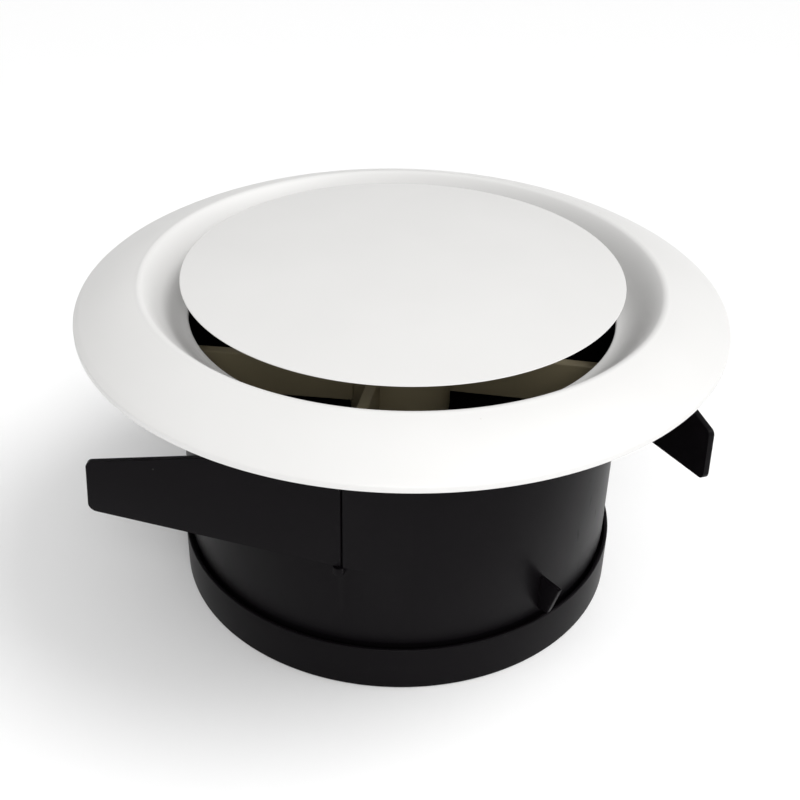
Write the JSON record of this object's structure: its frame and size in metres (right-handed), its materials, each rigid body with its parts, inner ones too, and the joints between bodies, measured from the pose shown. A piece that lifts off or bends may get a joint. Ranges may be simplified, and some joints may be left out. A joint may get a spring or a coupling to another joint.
{
  "type": "ceiling air diffuser",
  "caption": "Round white plastic ceiling air diffuser with a screw-in centre disc, a black collar and spring wings that clamp behind the ceiling board.",
  "frame": {"origin": "on the diffuser's axis, at the lower end of the end ring, which it stands on", "axes": "+Z along the axis from the duct towards the face, +X to the right seen with the left wing pointing along -X"},
  "size_m": [0.15, 0.1543, 0.0821],
  "materials": {
    "white_plastic": "satin moulded",
    "black_plastic": "satin moulded"
  },
  "bodies": {
    "housing": {"face_ring": "white_plastic", "throat_upper": "white_plastic", "throat_lower": "white_plastic", "collar_socket": "white_plastic", "collar": "black_plastic", "end_ring": "black_plastic", "hub": "black_plastic", "arm_left": "black_plastic", "arm_front": "black_plastic", "arm_right": "black_plastic", "arm_back": "black_plastic", "fin_front": "black_plastic", "fin_back": "black_plastic", "fin_left": "black_plastic"},
    "spindle_body": {"spindle": "white_plastic", "stop_nut": "black_plastic"},
    "disc_body": {"centre_disc": "white_plastic", "disc_boss": "white_plastic"},
    "wing_left_body": {"wing_left": "black_plastic"},
    "wing_right_body": {"wing_right": "black_plastic"},
    "wing_back_body": {"wing_back": "black_plastic"}
  },
  "joints": [
    {"name": "spindle_travel", "type": "slide", "parent": "housing", "child": "spindle_body", "axis": [0, 0, 1], "range_m": [-0.0074, 0.01]},
    {"name": "disc_turn", "type": "hinge", "parent": "spindle_body", "child": "disc_body", "pos_m": [0, 0, 0.075], "axis": [0, 0, 1], "range_deg": [-666, 900]},
    {"name": "wing_left_fold", "type": "hinge", "parent": "housing", "child": "wing_left_body", "pos_m": [-0.01216, -0.05266, 0.045], "axis": [0, 0, 1], "range_deg": [-14, 25], "stiffness_Nm_per_rad": 0.05},
    {"name": "wing_right_fold", "type": "hinge", "parent": "housing", "child": "wing_right_body", "pos_m": [0.05169, 0.0158, 0.045], "axis": [0, 0, 1], "range_deg": [-5, 34], "stiffness_Nm_per_rad": 0.05},
    {"name": "wing_back_fold", "type": "hinge", "parent": "housing", "child": "wing_back_body", "pos_m": [-0.03953, 0.03686, 0.045], "axis": [0, 0, 1], "range_deg": [-10, 29], "stiffness_Nm_per_rad": 0.05}
  ],
  "couplings": [
    {"joint": "spindle_travel", "follows": "disc_turn", "m_per_rad": 0.00063662}
  ]
}
